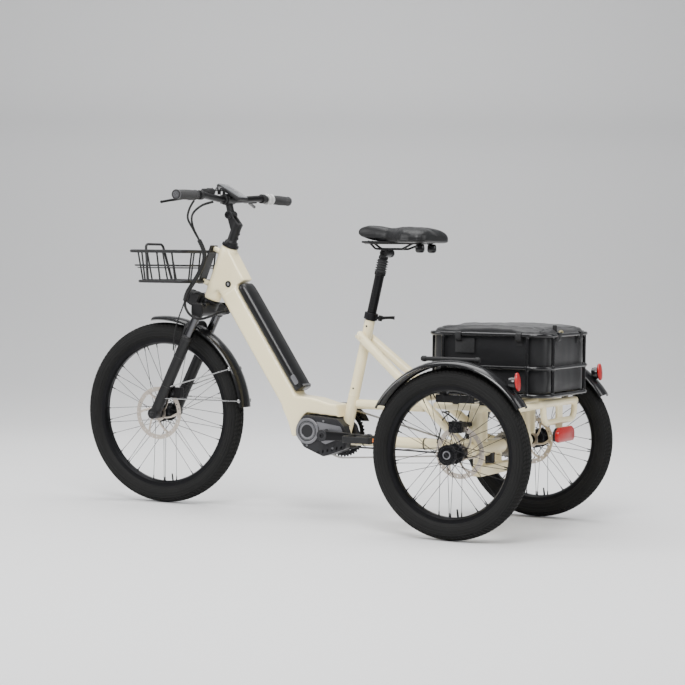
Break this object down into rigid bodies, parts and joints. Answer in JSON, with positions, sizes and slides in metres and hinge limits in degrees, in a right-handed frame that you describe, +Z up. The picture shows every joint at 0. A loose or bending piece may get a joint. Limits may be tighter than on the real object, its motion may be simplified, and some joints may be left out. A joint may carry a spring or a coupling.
{
  "type": "adult tricycle",
  "caption": "Step-through adult tricycle with mid drive motor, battery in the down tube, front wire basket and a bagged cargo basket between the rear wheels.",
  "frame": {"origin": "on the ground, at the middle of the whole tricycle lengthways and across", "axes": "+X forward, +Y to the rider's left, +Z up"},
  "size_m": [1.8179, 0.756, 1.099],
  "materials": {
    "frame_paint": "gloss ivory paint",
    "motor_black": "black satin casting",
    "gloss_black": "gloss black",
    "bag_vinyl": "coated cloth",
    "matte_black": "matt moulded",
    "red_lens": "clear red",
    "black_alloy": "black anodised satin",
    "chain_steel": "oiled steel",
    "wire_black": "satin black powder coat",
    "cable_black": "satin",
    "fork_black": "satin black",
    "stanchion_dark": "dark polished",
    "tyre": "matt tread rubber",
    "disc_steel": "turned steel",
    "bar_black": "satin black",
    "grip_rubber": "textured",
    "display_grey": "glossy screen",
    "shifter_silver": "pale grey",
    "crank_black": "black satin",
    "saddle_vinyl": "smooth synthetic",
    "battery_black": "gloss black"
  },
  "bodies": {
    "frame": {"head_tube": "frame_paint", "down_tube": "frame_paint", "motor_cradle": "frame_paint", "seat_tube": "frame_paint", "rear_tubes": "frame_paint", "axle_housing": "frame_paint", "rack_frame": "frame_paint", "drive_unit": "motor_black", "cargo_basket": "gloss_black", "cargo_bag": "bag_vinyl", "rear_fenders": "gloss_black", "fender_brackets": "matte_black", "rear_lights": "red_lens", "rear_calipers": "black_alloy", "chain": "chain_steel", "chain_guard": "matte_black", "front_basket": "wire_black", "brake_hoses": "cable_black"},
    "fork_upper": {"fork_crown": "fork_black", "stanchions": "stanchion_dark", "headlight": "matte_black"},
    "fork_lower": {"fork_lowers": "fork_black", "front_fender": "gloss_black", "front_caliper": "black_alloy"},
    "front_wheel": {"front_tyre": "tyre", "front_rim": "black_alloy", "front_spokes": "black_alloy", "front_hub": "black_alloy", "front_disc": "disc_steel"},
    "rear_wheel_left": {"rear_left_tyre": "tyre", "rear_left_rim": "black_alloy", "rear_left_spokes": "black_alloy", "rear_left_hub": "black_alloy", "rear_left_disc": "disc_steel"},
    "rear_wheel_right": {"rear_right_tyre": "tyre", "rear_right_rim": "black_alloy", "rear_right_spokes": "black_alloy", "rear_right_hub": "black_alloy", "rear_right_disc": "disc_steel"},
    "handlebar": {"stem_arm": "fork_black", "handlebar": "bar_black", "grips": "grip_rubber", "bar_controls": "matte_black", "display": "display_grey"},
    "twist_shifter": {"twist_shifter": "shifter_silver"},
    "brake_lever_left": {"brake_lever_left": "bar_black"},
    "brake_lever_right": {"brake_lever_right": "bar_black"},
    "crank": {"crankset": "crank_black"},
    "pedal_left": {"pedal_left": "matte_black"},
    "pedal_right": {"pedal_right": "matte_black"},
    "cassette": {"cassette": "chain_steel"},
    "derailleur": {"derailleur": "crank_black"},
    "seatpost": {"seatpost": "bar_black", "boot": "grip_rubber"},
    "seat_head": {"seat_head": "bar_black"},
    "saddle": {"saddle_base": "matte_black", "saddle_pad": "saddle_vinyl"},
    "seat_lever": {"seat_lever": "bar_black"},
    "battery": {"battery": "battery_black"},
    "bag_lid": {"bag_lid": "bag_vinyl"}
  },
  "joints": [
    {"name": "steering", "type": "hinge", "parent": "frame", "child": "fork_upper", "pos_m": [0.343, 0, 0.883], "axis": [-0.3584, 0, 0.9336], "range_deg": [-40, 40], "deforming": ["brake_hoses"]},
    {"name": "fork_suspension", "type": "slide", "parent": "fork_upper", "child": "fork_lower", "axis": [-0.4406, 0, 0.8977], "range_m": [0, 0.04], "stiffness_N_per_m": 9000, "springref_m": -0.03},
    {"name": "front_wheel_spin", "type": "hinge", "parent": "fork_lower", "child": "front_wheel", "pos_m": [0.598, 0, 0.311], "axis": [0, 1, 0], "continuous": true},
    {"name": "rear_left_spin", "type": "hinge", "parent": "frame", "child": "rear_wheel_left", "pos_m": [-0.648, 0.341, 0.261], "axis": [0, 1, 0], "continuous": true},
    {"name": "rear_right_spin", "type": "hinge", "parent": "frame", "child": "rear_wheel_right", "pos_m": [-0.648, -0.341, 0.261], "axis": [0, 1, 0], "continuous": true},
    {"name": "stem_tilt", "type": "hinge", "parent": "fork_upper", "child": "handlebar", "pos_m": [0.34, 0, 0.991], "axis": [0, 1, 0], "range_deg": [-20, 35], "deforming": ["brake_hoses"]},
    {"name": "gear_twist", "type": "hinge", "parent": "handlebar", "child": "twist_shifter", "pos_m": [0.338, -0.18, 1.052], "axis": [-0.0651, -0.9976, -0.0217], "range_deg": [0, 80]},
    {"name": "left_brake_lever", "type": "hinge", "parent": "handlebar", "child": "brake_lever_left", "pos_m": [0.38, 0.196, 1.044], "axis": [0, 0, 1], "range_deg": [0, 22], "stiffness_Nm_per_rad": 1.2, "springref_deg": -5.73},
    {"name": "right_brake_lever", "type": "hinge", "parent": "handlebar", "child": "brake_lever_right", "pos_m": [0.38, -0.196, 1.044], "axis": [0, 0, -1], "range_deg": [0, 22], "stiffness_Nm_per_rad": 1.2, "springref_deg": -5.73},
    {"name": "crank_spin", "type": "hinge", "parent": "frame", "child": "crank", "pos_m": [-0.071, 0, 0.271], "axis": [0, 1, 0], "continuous": true},
    {"name": "left_pedal_spin", "type": "hinge", "parent": "crank", "child": "pedal_left", "pos_m": [-0.241, 0.15, 0.271], "axis": [0, 1, 0], "continuous": true},
    {"name": "right_pedal_spin", "type": "hinge", "parent": "crank", "child": "pedal_right", "pos_m": [0.099, -0.15, 0.271], "axis": [0, 1, 0], "continuous": true},
    {"name": "cassette_spin", "type": "hinge", "parent": "frame", "child": "cassette", "pos_m": [-0.648, 0, 0.261], "axis": [0, 1, 0], "continuous": true},
    {"name": "derailleur_swing", "type": "hinge", "parent": "frame", "child": "derailleur", "pos_m": [-0.585, 0, 0.222], "axis": [0, 1, 0], "range_deg": [-8, 14], "stiffness_Nm_per_rad": 2, "deforming": ["chain"]},
    {"name": "seat_height", "type": "slide", "parent": "frame", "child": "seatpost", "axis": [-0.2198, 0, 0.9755], "range_m": [-0.12, 0.04]},
    {"name": "seat_suspension", "type": "slide", "parent": "seatpost", "child": "seat_head", "axis": [-0.2198, 0, 0.9755], "range_m": [-0.03, 0], "stiffness_N_per_m": 12000, "springref_m": 0.01, "deforming": ["boot"]},
    {"name": "saddle_tilt", "type": "hinge", "parent": "seat_head", "child": "saddle", "pos_m": [-0.25322, 0, 0.86617], "axis": [0, 1, 0], "range_deg": [-8, 8]},
    {"name": "seat_clamp_lever", "type": "hinge", "parent": "frame", "child": "seat_lever", "pos_m": [-0.22396, -0.014, 0.65443], "axis": [-0.2198, 0, 0.9755], "range_deg": [0, 90]},
    {"name": "battery_release", "type": "hinge", "parent": "frame", "child": "battery", "pos_m": [0.0362, 0, 0.42406], "axis": [0, -1, 0], "range_deg": [0, 25]},
    {"name": "bag_lid_hinge", "type": "hinge", "parent": "frame", "child": "bag_lid", "pos_m": [-0.496, 0, 0.6223], "axis": [0, 1, 0], "range_deg": [0, 60]}
  ],
  "couplings": [
    {"joint": "cassette_spin", "follows": "crank_spin", "ratio": 2.7}
  ]
}
